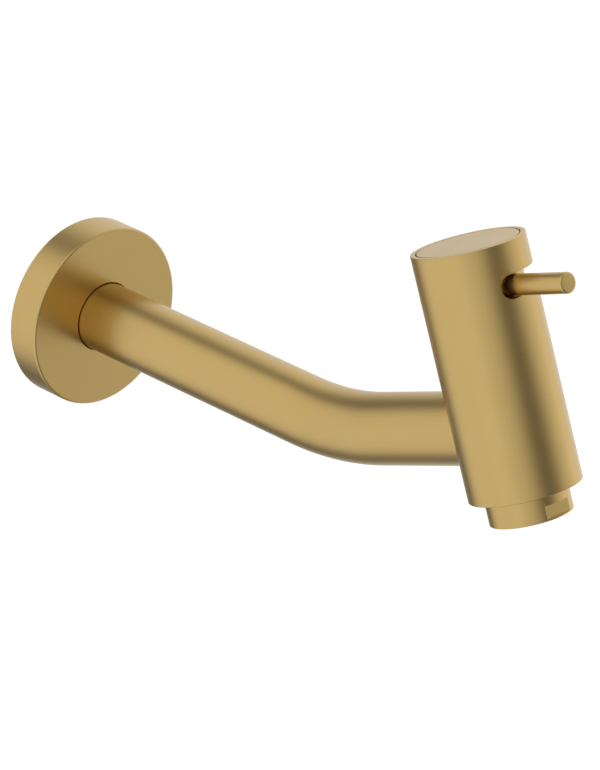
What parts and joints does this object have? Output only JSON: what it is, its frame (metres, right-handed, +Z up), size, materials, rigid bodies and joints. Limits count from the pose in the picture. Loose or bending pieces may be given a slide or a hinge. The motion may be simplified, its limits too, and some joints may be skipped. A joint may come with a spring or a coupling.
{
  "type": "wall-mounted basin tap",
  "caption": "Wall-mounted basin tap: round wall flange, long tubular arm bent up at its middle, and a leaning cylindrical head with a side lever and an aerator.",
  "frame": {"origin": "centre of the inlet thread in the plane of the finished wall", "axes": "+X along the wall, to the right of a person who faces it; +Y into the wall along the inlet thread; +Z up"},
  "size_m": [0.065, 0.2508, 0.1255],
  "materials": {
    "brushed_gold": "satin brushed gold coating",
    "raw_brass": "machined",
    "steel": "plain",
    "seal_rubber": "matt",
    "disc_ceramic": "lapped",
    "white_plastic": "matt"
  },
  "bodies": {
    "tap": {"wall_flange": "brushed_gold", "flange_wall_seal": "seal_rubber", "flange_tube_ring": "seal_rubber", "wall_nipple": "raw_brass", "nipple_ring_front": "seal_rubber", "nipple_ring_back": "seal_rubber", "arm_grub_screw": "steel", "spout_tube": "brushed_gold", "tap_body": "brushed_gold", "top_cap": "brushed_gold", "cap_ring": "seal_rubber", "headwork_body": "raw_brass", "headwork_ring": "seal_rubber", "seat_seal": "seal_rubber", "slip_washer": "white_plastic", "fixed_disc": "disc_ceramic", "aerator_housing": "brushed_gold", "aerator_washer": "seal_rubber", "aerator_screen": "steel", "aerator_insert": "white_plastic"},
    "lever": {"spindle": "raw_brass", "spindle_ring_low": "seal_rubber", "spindle_ring_high": "seal_rubber", "spindle_clip": "steel", "moving_disc": "disc_ceramic", "lever_hub": "brushed_gold", "lever_pin": "brushed_gold", "hub_screw": "steel"}
  },
  "joints": [
    {"name": "lever_turn", "type": "hinge", "parent": "tap", "child": "lever", "pos_m": [0, -0.21105, 0.02805], "axis": [0, 0.342, 0.9397], "range_deg": [0, 90]}
  ]
}
